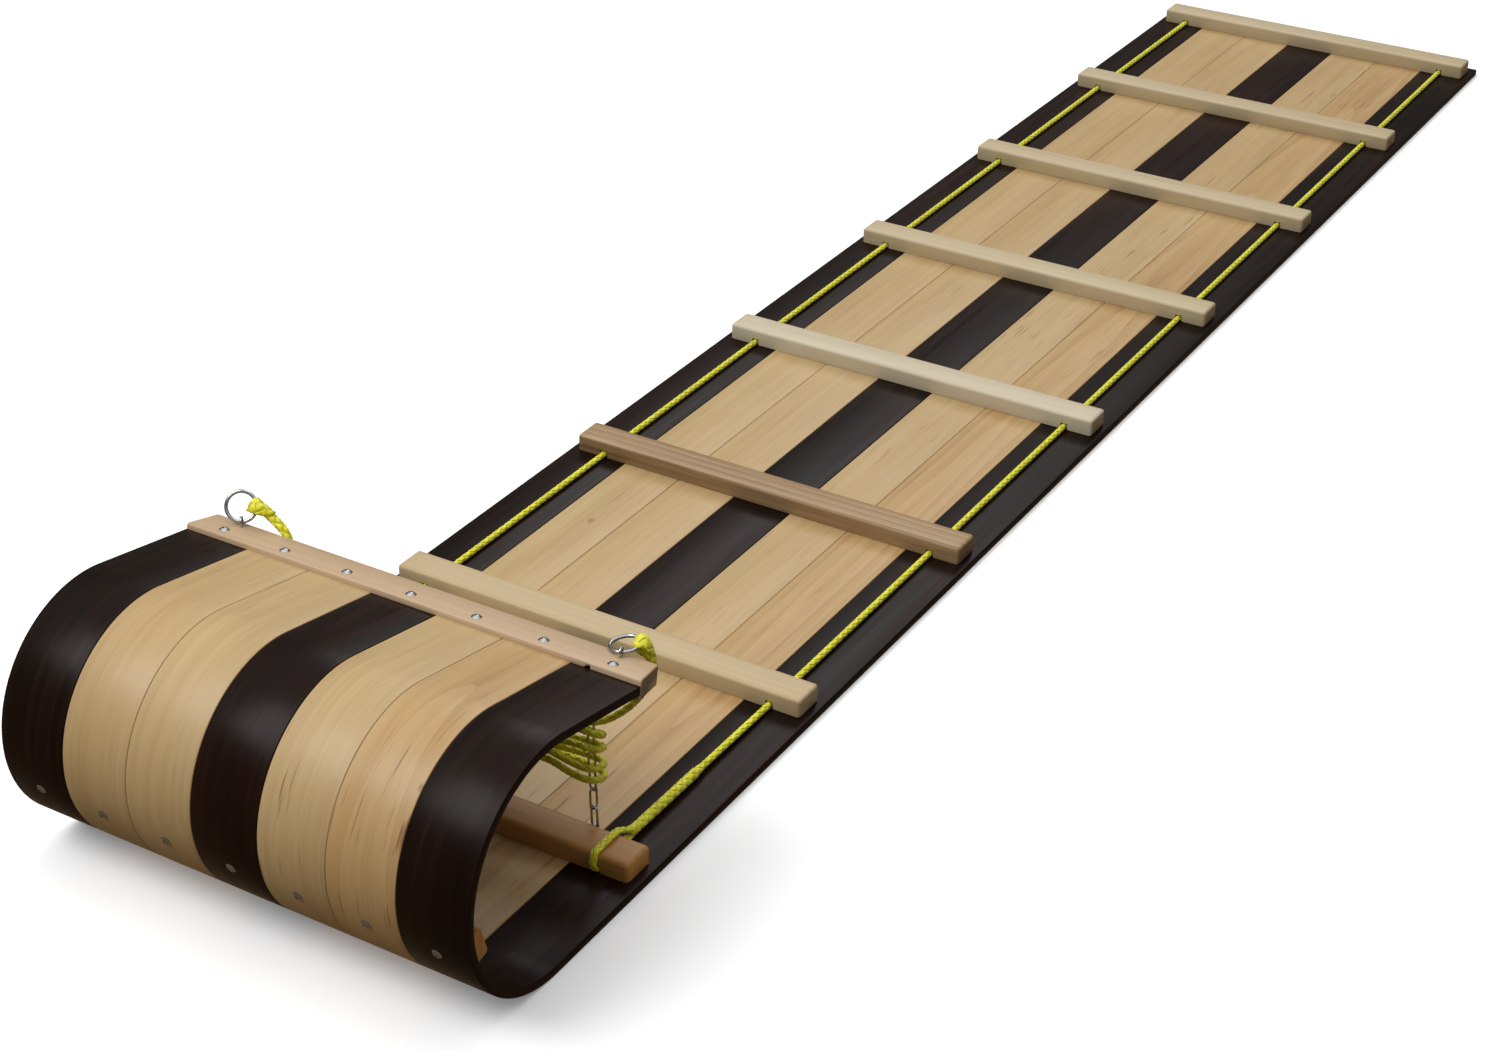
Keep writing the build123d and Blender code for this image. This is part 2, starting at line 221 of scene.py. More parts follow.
def roughen(tree, shader, height, strength, distance):
    # raises and lowers the surface's shading by a texture
    raised = node(tree, "ShaderNodeBump", {"Height": height, "Strength": strength, "Distance": distance})
    tree.links.new(raised.outputs[0], shader.inputs["Normal"])


# Wood. Grain runs along a slat's own length through the bend, and along X in a bar.
# Each noise: scale, how far it is drawn out along the grain, detail, roughness, where it is read
woodNoise = {
    "sway": (9.0, 5.0, 2.0, 0.5, 3.1),
    "broad": (22.0, 7.0, 2.0, 0.5, 7.7),
    "fibres": (520.0, 45.0, 3.0, 0.6, 1.9),
    "streaks": (130.0, 28.0, 3.0, 0.6, 5.3),
    "warm": (5.0, 4.0, 1.0, 0.5, 11.0),
    "dash": (330.0, 22.0, 1.0, 0.4, 17.0),
    "patch": (9.0, 2.5, 1.0, 0.5, 23.0),
}
# Where a mark starts in its noise or on the normal, and how sharply
woodStart = {"warm": 0.42, "dash": 0.655, "patch": 0.46, "end": 0.93}
woodSharp = {"dash": 14.0, "patch": 8.0, "end": 40.0, "flat": 3.0}
knotSquash = 0.55
endDark = 0.72


def woodMaterial(name, look):
    material, tree, shader = newMaterial(name, {
        "Coat Weight": look["coat"], "Coat Roughness": look["coatRough"],
        "Specular IOR Level": look["specular"]})
    onSlat = look["onSlat"]

    def plus(first, second, clamp=False):
        return maths(tree, "ADD", first, second, clamp=clamp)

    def less(first, second, clamp=False):
        return maths(tree, "SUBTRACT", first, second, clamp=clamp)

    def times(first, second, clamp=False):
        return maths(tree, "MULTIPLY", first, second, clamp=clamp)

    where = node(tree, "ShaderNodeTexCoord").outputs["UV" if onSlat else "Object"]
    split = node(tree, "ShaderNodeSeparateXYZ", {0: where}).outputs
    across, along, deep = (split[0], split[1], 0.0) if onSlat else (split[1], split[0], split[2])
    along = plus(along, look["shift"])
    board = node(tree, "ShaderNodeCombineXYZ", {0: across, 1: along, 2: deep}).outputs[0]

    def noiseAlong(kind):
        scale, stretch, detail, rough, seed = woodNoise[kind]
        squeezed = node(tree, "ShaderNodeMapping", {
            0: board, "Location": (seed, seed * 0.7, seed * 1.3), "Scale": (1, 1 / stretch, 1)}).outputs[0]
        return node(tree, "ShaderNodeTexNoise", {
            "Vector": squeezed, "Scale": scale, "Detail": detail, "Roughness": rough}).outputs["Fac"]

    def markFrom(kind):
        return times(less(noiseAlong(kind), woodStart[kind], clamp=True), woodSharp[kind], clamp=True)

    swayed = plus(across, times(less(noiseAlong("sway"), 0.5), look["sway"]))
    cone = node(tree, "ShaderNodeCombineXYZ", {
        0: plus(swayed, look["heartAcross"]), 1: 0.0,
        2: plus(times(along, look["slope"]), look["heartDeep"])}).outputs[0]
    growth = node(tree, "ShaderNodeTexWave", {
        "Vector": cone, "Scale": look["ringScale"], "Distortion": 1.2, "Detail": 2.0,
        "Detail Scale": 0.8}, wave_type="RINGS", rings_direction="Y", wave_profile="SAW").outputs["Fac"]
    fibre, streak = noiseAlong("fibres"), noiseAlong("streaks")
    tone = 0.0
    for source, strength in ((growth, "rings"), (noiseAlong("broad"), "broad"), (streak, "streaks"),
                             (fibre, "fibres")):
        tone = plus(tone, times(less(source, 0.5), look[strength]))
    colour = ramp(tree, plus(tone, 0.5, clamp=True), look["colours"])
    warmth = times(less(noiseAlong("warm"), woodStart["warm"], clamp=True), look["warm"], clamp=True)
    colour = blendColour(tree, warmth, colour, look["warmColour"])

    if look["flecks"]:
        fleck = times(times(markFrom("dash"), markFrom("patch")), look["flecks"], clamp=True)
        colour = blendColour(tree, fleck, colour, look["fleckColour"])
    for knotAcross, knotAlong, size in look["knots"]:
        away = node(tree, "ShaderNodeMapping", {
            0: board, "Location": (-knotAcross, -knotAlong * knotSquash, 0),
            "Scale": (1, knotSquash, 0)}).outputs[0]
        distance = node(tree, "ShaderNodeVectorMath", {0: away}, operation="LENGTH").outputs["Value"]
        near = node(tree, "ShaderNodeMapRange", {
            "Value": plus(distance, times(streak, size * 0.8)), "From Min": size * 0.6,
            "From Max": size * 2.6, "To Min": 0.8, "To Max": 0.0},
            interpolation_type="SMOOTHSTEP").outputs[0]
        colour = blendColour(tree, near, colour, look["fleckColour"])

    # end grain, on a slat only at the tail
    facing = node(tree, "ShaderNodeNewGeometry").outputs["Normal"]
    ways = node(tree, "ShaderNodeSeparateXYZ", {0: facing}).outputs
    endways = maths(tree, "ABSOLUTE", ways[1 if onSlat else 0])
    onEnd = times(less(endways, woodStart["end"], clamp=True), woodSharp["end"], clamp=True)
    if onSlat:
        flat = less(1.0, times(maths(tree, "ABSOLUTE", ways[2]), woodSharp["flat"]), clamp=True)
        tail = maths(tree, "GREATER_THAN", along, look["shift"] + tailY - 0.002)
        onEnd = times(times(onEnd, flat), tail)
    arcs = node(tree, "ShaderNodeTexWave", {
        "Vector": cone, "Scale": 110.0, "Distortion": 2.0, "Detail": 2.0},
        wave_type="RINGS", rings_direction="X").outputs["Fac"]
    endTone = ramp(tree, arcs, [(0.0, look["endColour"]), (1.0, [c * endDark for c in look["endColour"]])])
    tree.links.new(blendColour(tree, onEnd, colour, endTone), shader.inputs["Base Color"])
    rough = node(tree, "ShaderNodeMapRange", {
        "Value": streak, "From Min": 0.3, "From Max": 0.7, "To Min": look["rough"] - 0.05,
        "To Max": look["rough"] + 0.07}).outputs[0]
    tree.links.new(rough, shader.inputs["Roughness"])
    roughen(tree, shader, plus(times(fibre, 0.7), times(streak, 0.6)), look["bump"], 0.0004)
    return material


mapleLook = {
    "onSlat": True, "shift": 0.0, "specular": 0.32, "coat": 0.05, "coatRough": 0.2, "rough": 0.42,
    "bump": 0.12, "sway": 0.03, "slope": 0.035, "heartAcross": 0.0, "heartDeep": 0.03,
    "ringScale": 26.0, "rings": 0.12, "broad": 0.8, "streaks": 0.62, "fibres": 0.6,
    "colours": [(0.0, (0.36, 0.225, 0.092)), (0.35, (0.445, 0.30, 0.138)), (0.6, (0.49, 0.345, 0.170)),
                (1.0, (0.55, 0.405, 0.215))],
    "warm": 0.9, "warmColour": (0.47, 0.285, 0.110), "flecks": 0.6,
    "fleckColour": (0.24, 0.12, 0.05), "knots": [], "endColour": (0.55, 0.38, 0.20),
}
stainLook = {
    **mapleLook, "coat": 0.0, "specular": 0.085, "rough": 0.30, "bump": 0.05, "rings": 0.3, "broad": 0.9,
    "streaks": 0.9, "fibres": 0.5,
    "colours": [(0.0, (0.0040, 0.0026, 0.0016)), (0.5, (0.0080, 0.0042, 0.0026)),
                (1.0, (0.020, 0.0072, 0.004))],
    "warm": 0.7, "warmColour": (0.036, 0.0075, 0.0045), "flecks": 0.0, "endColour": (0.02, 0.012, 0.008),
}
slatLooks = {
    1: stainLook,
    2: {**mapleLook, "knots": [(-0.128, -0.50, 0.0020)], "flecks": 0.25},
    3: {**mapleLook, "heartAcross": 0.05, "heartDeep": 0.02, "flecks": 0.3,
        "knots": [(-0.055, -1.10, 0.0010)]},
    4: {**stainLook, "shift": 3.0},
    5: {**mapleLook, "heartAcross": -0.08, "heartDeep": 0.04, "flecks": 0.9,
        "knots": [(0.048, -0.72, 0.0008)]},
    6: {**mapleLook, "heartAcross": -0.13, "heartDeep": 0.015, "flecks": 0.9, "warm": 1.9, "rings": 0.32,
        "knots": [(0.1612, -1.3454, 0.0014)],
        "colours": [(0.0, (0.33, 0.185, 0.070)), (0.35, (0.43, 0.265, 0.110)), (0.6, (0.475, 0.310, 0.140)),
                    (1.0, (0.53, 0.365, 0.180))]},
    7: {**stainLook, "shift": 6.0},
}
barLook = {
    **mapleLook, "onSlat": False, "coat": 0.04, "coatRough": 0.25, "bump": 0.14,
    "sway": 0.012, "slope": 0.02, "heartDeep": 0.012, "ringScale": 34.0, "rings": 0.2, "broad": 0.5,
    "streaks": 0.5, "fibres": 0.35, "warm": 0.25, "flecks": 0.1,
    "colours": [(0.0, (0.40, 0.30, 0.165)), (0.4, (0.50, 0.40, 0.24)), (1.0, (0.58, 0.49, 0.33))],
    "warmColour": (0.50, 0.37, 0.20), "endColour": (0.46, 0.35, 0.205),
}
barLooks = {name: {**barLook, "shift": 1.7 * k} for k, name in enumerate(barNames)}
barLooks["crossbar_5"].update({"warm": 0.0, "colours": [
    (0.0, (0.45, 0.37, 0.24)), (0.4, (0.54, 0.46, 0.32)), (1.0, (0.61, 0.54, 0.41))]})
barLooks["crossbar_6"].update({
    "rings": 0.5, "streaks": 0.95, "warm": 0.5, "warmColour": (0.27, 0.15, 0.065),
    "endColour": (0.26, 0.16, 0.08),
    "colours": [(0.0, (0.16, 0.085, 0.035)), (0.4, (0.31, 0.195, 0.095)), (0.7, (0.39, 0.265, 0.140)),
                (1.0, (0.48, 0.36, 0.215))]})
barLooks["crossbar_7"].update({"colours": [
    (0.0, (0.38, 0.27, 0.135)), (0.4, (0.48, 0.36, 0.20)), (1.0, (0.56, 0.45, 0.28))]})
toeLook = {
    **barLook, "shift": 21.0, "rings": 0.3, "streaks": 0.5, "warm": 0.4, "warmColour": (0.44, 0.175, 0.040),
    "colours": [(0.0, (0.30, 0.125, 0.030)), (0.4, (0.42, 0.20, 0.055)), (1.0, (0.50, 0.27, 0.085))],
    "endColour": (0.56, 0.25, 0.070),
}
barLooks["toe_bar"] = toeLook
headLook = {
    **barLook, "shift": 31.0, "streaks": 0.4, "rings": 0.25, "warm": 0.7, "warmColour": (0.50, 0.32, 0.15),
    "colours": [(0.0, (0.38, 0.245, 0.135)), (0.4, (0.48, 0.335, 0.205)), (1.0, (0.56, 0.42, 0.275))],
    "endColour": (0.21, 0.155, 0.105),
}
zincLook = {"bright": (0.54, 0.55, 0.57), "dull": (0.33, 0.34, 0.36), "rough": 0.17, "spots": 900.0}
ropeLook = {
    "deep": (0.44, 0.37, 0.004), "bright": (0.82, 0.79, 0.018), "pale": (0.90, 0.90, 0.10), "rough": 0.42,
}


def zincMaterial():
    material, tree, shader = newMaterial("zincPlate", {"Metallic": 1.0})
    where = node(tree, "ShaderNodeTexCoord").outputs["Object"]
    cloud = node(tree, "ShaderNodeTexNoise", {
        "Vector": where, "Scale": zincLook["spots"], "Detail": 3.0}).outputs["Fac"]
    tree.links.new(ramp(tree, cloud, [(0.3, zincLook["dull"]), (0.62, zincLook["bright"])]),
                   shader.inputs["Base Color"])
    rough = node(tree, "ShaderNodeMapRange", {
        "Value": cloud, "To Min": zincLook["rough"] - 0.06, "To Max": zincLook["rough"] + 0.14}).outputs[0]
    tree.links.new(rough, shader.inputs["Roughness"])
    roughen(tree, shader, cloud, 0.08, 0.0002)
    return material


def ropeMaterial():
    # fibres run along each strand, whose own map is across it and along it
    material, tree, shader = newMaterial("yellowRope", {
        "Roughness": ropeLook["rough"], "Sheen Weight": 0.25, "Sheen Roughness": 0.4,
        "Subsurface Weight": 0.12, "Subsurface Scale": 0.002, "Subsurface Radius": (1.0, 0.9, 0.1)})
    where = node(tree, "ShaderNodeTexCoord")
    stretched = node(tree, "ShaderNodeMapping", {0: where.outputs["UV"], "Scale": (9.0, 130.0, 1)}).outputs[0]
    fibre = node(tree, "ShaderNodeTexNoise", {
        "Vector": stretched, "Scale": 1.6, "Detail": 2.0}).outputs["Fac"]
    patch = node(tree, "ShaderNodeTexNoise", {
        "Vector": where.outputs["Object"], "Scale": 60.0, "Detail": 2.0}).outputs["Fac"]
    tone = maths(tree, "ADD", maths(tree, "MULTIPLY", fibre, 0.7), maths(tree, "MULTIPLY", patch, 0.3))
    stops = [(0.3, ropeLook["deep"]), (0.5, ropeLook["bright"]), (0.72, ropeLook["pale"])]
    tree.links.new(ramp(tree, tone, stops), shader.inputs["Base Color"])
    roughen(tree, shader, fibre, 0.5, 0.0004)
    return material


zinc = zincMaterial()
yellowRope = ropeMaterial()
slatMaterials = {k: woodMaterial(f"slatWood{k}", look) for k, look in slatLooks.items()}
barMaterials = {name: woodMaterial(f"wood.{name}", look) for name, look in barLooks.items()}
headWood = woodMaterial("wood.head_bar", headLook)
print("materials mixed")


# Rope: a hollow braid of flat strands, half of them turning each way, one over and one under
rope = {
    "radius": 0.00315,
    "carriers": 3,         # strands that turn each way
    "pitch": 0.030,        # length of one turn
    "strandWide": 0.0042,
    "strandThick": 0.0015,
    "weave": 0.00052,      # how far a strand rises and dips
}
strandSection = [(math.cos(a) * 0.5, math.sin(a) * 0.5) for a in (math.pi * (k + 0.5) / 3 for k in range(6))]


def routeThrough(points):
    # the smooth line that a route's points give, read back from its spline
    curve = bpy.data.curves.new("route", "CURVE")
    curve.dimensions = "3D"
    curve.resolution_u = 16
    spline = curve.splines.new("NURBS")
    spline.points.add(len(points) - 1)
    for place, point in zip(spline.points, points):
        place.co = (*point, 1)
    spline.order_u = 3
    spline.use_endpoint_u = True
    holder = bpy.data.objects.new("route", curve)
    mesh = bpy.data.meshes.new_from_object(holder)
    line = [v.co.copy() for v in mesh.vertices]
    bpy.data.meshes.remove(mesh)
    bpy.data.curves.remove(curve)
    return line


def evenSteps(line, step):
    # the line again, in equal steps, and how far along it each one is
    runs = [0.0]
    for a, b in zip(line, line[1:]):
        runs.append(runs[-1] + (b - a).length)
    count = max(2, round(runs[-1] / step) + 1)
    spots, at, i = [], [runs[-1] * k / (count - 1) for k in range(count)], 0
    for s in at:
        while i < len(runs) - 2 and runs[i + 1] < s:
            i += 1
        share = (s - runs[i]) / max(runs[i + 1] - runs[i], 1e-12)
        spots.append(line[i].lerp(line[i + 1], min(1.0, share)))
    return spots, at


def framesAlong(spots, firstSide=None):
    # at each spot: the way along, and two ways across that don't twist
    frames, side = [], firstSide
    for i, spot in enumerate(spots):
        along = (spots[min(i + 1, len(spots) - 1)] - spots[max(i - 1, 0)]).normalized()
        if side is None:
            side = along.orthogonal()
        side = (side - along * side.dot(along)).normalized()
        frames.append((along, side, along.cross(side)))
    return frames


def braid(name, line, thickness=None, flatness=None, side=None, cuts=()):
    # strands as closed solids round the line; cuts splits them into pieces at those lengths
    count = rope["carriers"]
    spots, at = evenSteps(line, rope["pitch"] / (6 * count))
    frames = framesAlong(spots, side)
    whole = at[-1]
    bounds = [0] + [min(range(len(at)), key=lambda i: abs(at[i] - cut)) for cut in cuts] + [len(at) - 1]
    pieces = []
    middle = rope["radius"] - rope["strandThick"] / 2 - rope["weave"]
    for part, (first, last) in enumerate(zip(bounds, bounds[1:])):
        points, faces, uvs = [], [], []
        for strand in range(2 * count):
            way = 1 if strand % 2 else -1
            start = len(points)
            for i in range(first, last + 1):
                s = at[i]
                along, sideways, upways = frames[i]
                size = thickness(s, whole) if thickness else 1.0
                flat = flatness(s, whole) if flatness else (1.0, 1.0)
                turn = way * 2 * math.pi * s / rope["pitch"] + 2 * math.pi * (strand // 2) / count
                rise = way * rope["weave"] * math.cos(math.pi * 2 * count * s / rope["pitch"])
                reach = (middle + rise) * size
                out = sideways * math.cos(turn) + upways * math.sin(turn)
                around = upways * math.cos(turn) - sideways * math.sin(turn)
                travel = along * rope["pitch"] + around * (way * 2 * math.pi * reach)
                across = travel.cross(out).normalized()
                for j, (u, v) in enumerate(strandSection):
                    offset = (out * (reach + v * rope["strandThick"] * size)
                              + across * (u * rope["strandWide"] * size))
                    wide, high = offset.dot(sideways) * flat[0], offset.dot(upways) * flat[1]
                    points.append(spots[i] + sideways * wide + upways * high + along * offset.dot(along))
                    uvs.append((j / 6 + strand * 0.37, s))
            faces += ringFaces(last - first + 1, 6, start)
        mesh = outward(meshFrom(name, points, faces, uvs))
        strands = newPiece(f"{name}{part + 1}" if cuts else name, mesh, yellowRope)
        pieces.append((strands, spots[first:last + 1]))
    return pieces if cuts else pieces[0]


# Side ropes: a stopper knot at the tail, the taut rope through the notches, and an eye round the toe bar
sideRope = {
    "x": 0.189,
    "z": 0.01145,
    "eyeZ": 0.0147,        # middle of the splice at the toe bar
    "spliceY": -0.91565,
    "spliceEnd": -0.80065,
    "tailY": 1.17245,
    "spliceThick": 1.5,
    "spliceStep": 0.016,   # over which the splice comes up to its thickness
}
stopper = {"turns": 2.0, "steps": 24, "radius": 0.0040, "perTurn": 0.0038, "start": 0.0010}
toeLow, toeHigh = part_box("toe_bar")


def makeSideRope(name, side):
    spliceY, spliceEnd, eyeZ, tail = (sideRope[k] for k in ("spliceY", "spliceEnd", "eyeZ", "tailY"))
    x, z = side * sideRope["x"], sideRope["z"]
    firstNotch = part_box("crossbar_7")[0].y
    endZ = z + (eyeZ - z) * (firstNotch - spliceEnd) / (firstNotch - spliceY)
    splice = spliceEnd - spliceY

    def thickness(s, whole):
        # a step where the tucked end stops, and full thickness from there to the eye
        step = min(1.0, max(0.0, (s - (whole - splice)) / sideRope["spliceStep"]))
        return 1.0 + (sideRope["spliceThick"] - 1.0) * step * step * (3 - 2 * step)

    taut = [(x, tail, z), (x, firstNotch + 0.05, z), (x, firstNotch, z), (x, spliceEnd, endZ),
            (x, spliceY, eyeZ)]
    tautRope, path = braid(f"sideRope.{name}", routeThrough([Vector(p) for p in taut]), thickness)
    front, top, back = toeLow.y, toeHigh.z, toeHigh.y
    eye = [(spliceY + 0.012, eyeZ + 0.001), (spliceY, eyeZ + 0.0033), (back + 0.006, top - 0.0005),
           (back - 0.003, top + 0.0032), (front + 0.008, top + 0.0027), (front - 0.0012, top + 0.0024),
           (front - 0.0029, top - 0.003), (front - 0.0033, z + 0.0045), (front - 0.0010, z - 0.0005),
           (front + 0.008, z), (back + 0.004, z), (spliceY, z + 0.0002), (spliceY + 0.012, eyeZ - 0.001)]
    loop, _ = braid(f"sideRopeEye.{name}", routeThrough([Vector((x, y, up)) for y, up in eye]),
                    flatness=lambda s, whole: (1.22, 0.74), side=Vector((1, 0, 0)))
    turns, steps, radius = stopper["turns"], stopper["steps"], stopper["radius"]
    coil = []
    for k in range(steps + 1):
        angle = 2 * math.pi * turns * k / steps
        coil.append(Vector((x + radius * math.cos(angle),
                            tail + stopper["start"] + stopper["perTurn"] * turns * k / steps,
                            z + radius + radius * math.sin(angle))))
    coil = [Vector((x, tail, z))] + coil + [coil[-1] + Vector((-0.002 * side, 0.0005, 0.004))]
    knot, _ = braid(f"sideRopeKnot.{name}", routeThrough(coil))
    for piece in (tautRope, loop, knot):
        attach(piece, "sled")
    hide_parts(f"side_rope_{name}", f"side_rope_splice_{name}")
    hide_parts(f"side_rope_eye_{name}")
    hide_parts(f"side_rope_knot_{name}")


for name, side in sides.items():
    makeSideRope(name, side)
print("side ropes laid")


# Pull rope: from the right ring down to four loose turns round both chains, and up to the left ring
pull = {
    "chainX": 0.163,
    "middleY": -0.92914,
    "turnRadius": 0.0105,   # of the spline's points round a chain
    "front": -0.9386,
    "rear": -0.9196,
    "frontRight": [0.122, 0.106, 0.085, 0.074],
    "frontLeft": [0.113, 0.102, 0.0915, 0.082],
    "rearRight": [0.118, 0.108, 0.097, 0.083, 0.072],
    "rearLeft": [0.115, 0.104, 0.0935, 0.084],
    "near": [0.107, 0.098, 0.0885, 0.080],    # front turns, a little in from the chains
    "nearRear": [0.108, 0.100, 0.092, 0.083],
    "middle": [0.094, 0.085, 0.076, 0.067],
    "middleRear": [0.096, 0.0875, 0.079, 0.070],
    "spliceLong": 0.05,
    "spliceThick": 1.42,
    "knotHalf": 0.0065,     # from a knot's middle to where its rope leaves
}
ringSet = {
    "left": {"pivot": barPoint(-0.192, 0.027, 0.0086), "turn": 31.0, "rise": 0.0, "lean": 30.0,
             "leave": Vector((0.90, 0.22, -0.37)).normalized()},
    "right": {"pivot": barPoint(0.192, 0.027, 0.0086), "turn": 16.0, "rise": 8.0, "lean": 92.0,
              "leave": Vector((0.30, 0.42, -0.86)).normalized()},
}
ringRadius, ringWire = 0.013, 0.00165


def ringWays(name):
    # the hinge's axis, and the way from the eye to the ring's middle
    turn, rise, tip = (math.radians(ringSet[name][k]) for k in ("turn", "rise", "lean"))
    axis = Vector((math.cos(rise) * math.cos(turn), math.cos(rise) * math.sin(turn), math.sin(rise)))
    behind = Vector((-math.sin(turn), math.cos(turn), 0))
    return axis, axis.cross(behind) * math.cos(tip) + behind * math.sin(tip)


def knotMiddle(name):
    axis, reach = ringWays(name)
    return ringSet[name]["pivot"] + (reach + axis) * ringRadius


def turnRound(side, low, high, fromFront):
    # four points round one chain, from the front run's height to the rear run's or back
    points = []
    for k in range(4):
        angle = math.radians(-72 + 48 * k) * (1 if fromFront else -1)
        points.append(Vector((side * (pull["chainX"] + pull["turnRadius"] * math.cos(angle)),
                              pull["middleY"] + pull["turnRadius"] * math.sin(angle),
                              low + (high - low) * k / 3)))
    return points


def runAcross(start, near, middle, far, finish, y, way):
    # a run between the chains, drooping in the middle and drawn in a little
    inward = 0.0035 if y < pull["middleY"] else -0.0035
    shape = [(0.150, start, 0.0), (0.122, near, 0.7), (0.070, (near + 2 * middle) / 3, 1.1),
             (0.0, middle, 1.2), (-0.070, (far + 2 * middle) / 3, 1.1), (-0.122, far, 0.7),
             (-0.150, finish, 0.0)]
    return [Vector((way * x, y + inward * share, z)) for x, z, share in shape]


def pullRoute():
    p, back, up = pull, lip.y + 0.034, lip.z
    chainX = p["chainX"]
    right, left = ringSet["right"]["leave"], ringSet["left"]["leave"]
    rightStart = knotMiddle("right") + right * p["knotHalf"]
    leftStart = knotMiddle("left") + left * p["knotHalf"]
    route = [rightStart, rightStart + right * 0.016] + [
        Vector((chainX + side, back + behind, up - down)) for side, behind, down in (
            (0.0415, 0.010, 0.035), (0.0315, 0.006, 0.052), (0.0175, 0.003, 0.066), (0.004, 0.001, 0.076))]
    for k in range(4):
        route += runAcross(p["rearRight"][k] - (0.004 if k == 0 else 0), p["nearRear"][k], p["middleRear"][k],
                           p["nearRear"][k], p["rearLeft"][k], p["rear"], 1)
        route += turnRound(-1, p["rearLeft"][k], p["frontLeft"][k], False)
        route += runAcross(p["frontLeft"][k], p["near"][k], p["middle"][k], p["near"][k], p["frontRight"][k],
                           p["front"], -1)
        route += turnRound(1, p["frontRight"][k], p["rearRight"][k + 1], True)
    outer = p["rear"] + 0.0066
    route += [Vector(point) for point in (
        (0.148, p["rear"] + 0.003, 0.0715), (0.120, outer - 0.003, 0.073), (0.060, outer - 0.003, 0.068),
        (0.0, outer - 0.0035, 0.070), (-0.060, outer - 0.003, 0.080), (-0.115, outer - 0.001, 0.093),
        (-0.145, outer, 0.101), (-0.160, back + 0.0045, 0.112), (-0.155, back + 0.0045, 0.136),
        (-0.150, back + 0.0055, 0.156), (-0.149, back + 0.0070, 0.174), (-0.153, back + 0.0080, 0.190))]
    return route + [leftStart + left * 0.014 - Vector((0.001, 0.001, 0.003)), leftStart]


def pullThickness(s, whole):
    # spliced at both rings
    share = max(0.0, 1 - min(s, whole - s) / pull["spliceLong"])
    return 1.0 + (pull["spliceThick"] - 1.0) * min(1.0, 1.6 * share)


(rightLead, rightPath), (hank, hankPath) = braid(
    "pullRope", routeThrough(pullRoute()), pullThickness, cuts=[0.0944])
for piece, path, name, cadNodes in (
        (rightLead, rightPath, "right", ["pull_rope_lead_right"]),
        (hank, hankPath, "left", ["pull_rope_hank", "pull_rope_lead_left"])):
    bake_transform(piece)
    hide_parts(*cadNodes)


def makeRingLoop(name):
    # the rope's spliced eye, round the ring's wire
    axis, reach = ringWays(name)
    middle, leave = knotMiddle(name), ringSet[name]["leave"]
    wide = reach.cross(leave).normalized()
    half = [(0.0155, 0.0010), (0.0105, 0.0030), (0.004, 0.0044), (-0.001, 0.0045), (-0.0042, 0.0030)]
    route = [middle + leave * a + wide * b for a, b in half]
    route += [middle + leave * -0.0050] + [middle + leave * a - wide * b for a, b in half[::-1]]

    def flattened(s, whole):
        # widest round the wire, drawn together at the throat
        share = max(0.0, math.sin(math.pi * s / whole)) ** 1.5
        return 1.15 + 1.25 * share, 0.95 - 0.25 * share

    loop, _ = braid(f"ringLoop.{name}", routeThrough(route), None, flattened, side=reach)
    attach(loop, f"ring_{name}")
    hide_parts(f"ring_knot_{name}")
    return loop


ringLoops = {name: makeRingLoop(name) for name in sides}


# The head bar's sizes, which the slats' ends need too; wall is the wood left at each end of its groove
headShape = {
    "deep": 0.034, "top": 0.0054, "under": -0.0126, "groove": 0.020, "grooveHigh": 0.0082, "taper": 0.0056,
    "wall": 0.0032, "round": 0.0022, "backRound": 0.0015, "underCut": 0.0006, "chipX": 0.1795,
    "chipWide": 0.0045, "chipDeep": 0.0016,
}


# Slats: rounded edges, one sweep from the tail through the bend into the head bar
slatShape = {"edge": 0.0008, "gap": 0.0004, "bendSteps": 72, "screwShift": 0.010}


def slatSection(low, high):
    # a rounded rectangle: x across, and depth in from the outer face
    edge, points = slatShape["edge"], []
    for x, depth, first in ((high - edge, edge, -90), (high - edge, slatThick - edge, 0),
                            (low + edge, slatThick - edge, 90), (low + edge, edge, 180)):
        for k in range(4):
            angle = math.radians(first + 30 * k)
            points.append((x + edge * math.cos(angle), depth + edge * math.sin(angle)))
    return points


def slatStations():
    # length along the slat, and the outer face's place and inward way there
    stations = [(tailY, Vector((0, tailY, 0)), Vector((0, 0, 1)))]
    flats = 12
    for k in range(1, flats):
        y = tailY + (bendY - tailY) * k / flats
        stations.append((y, Vector((0, y, 0)), Vector((0, 0, 1))))
    for k in range(slatShape["bendSteps"] + 1):
        angle = curl["turn"] * k / slatShape["bendSteps"]
        inward = Vector((0, math.sin(angle), math.cos(angle)))
        spot = Vector((0, bendY, bendRadius)) - inward * bendRadius
        stations.append((bendY - bendRadius * angle, spot, inward))
    atBend = stations[-1][0]
    for run in (curl["toBar"] - 0.0002, curl["toBar"] + 0.0002, curl["toBar"] + curl["inBar"]):
        stations.append((atBend - run, bendEnd + runBack * run, -runUp))
    return stations


def screwSeats(k):
    shift = {0: -1, 6: 1}.get(k, 0) * slatShape["screwShift"]
    return [Vector((slatMiddles[k] + shift, sum(c.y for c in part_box(name)) / 2, 0)) for name in barNames]


def turned(name, profile, steps=24):
    # a solid of revolution about Z from (radius, z) pairs
    points, faces = [], []
    for radius, z in profile:
        for k in range(steps):
            angle = 2 * math.pi * k / steps
            points.append((radius * math.cos(angle), radius * math.sin(angle), z))
    return meshFrom(name, points, ringFaces(len(profile), steps))


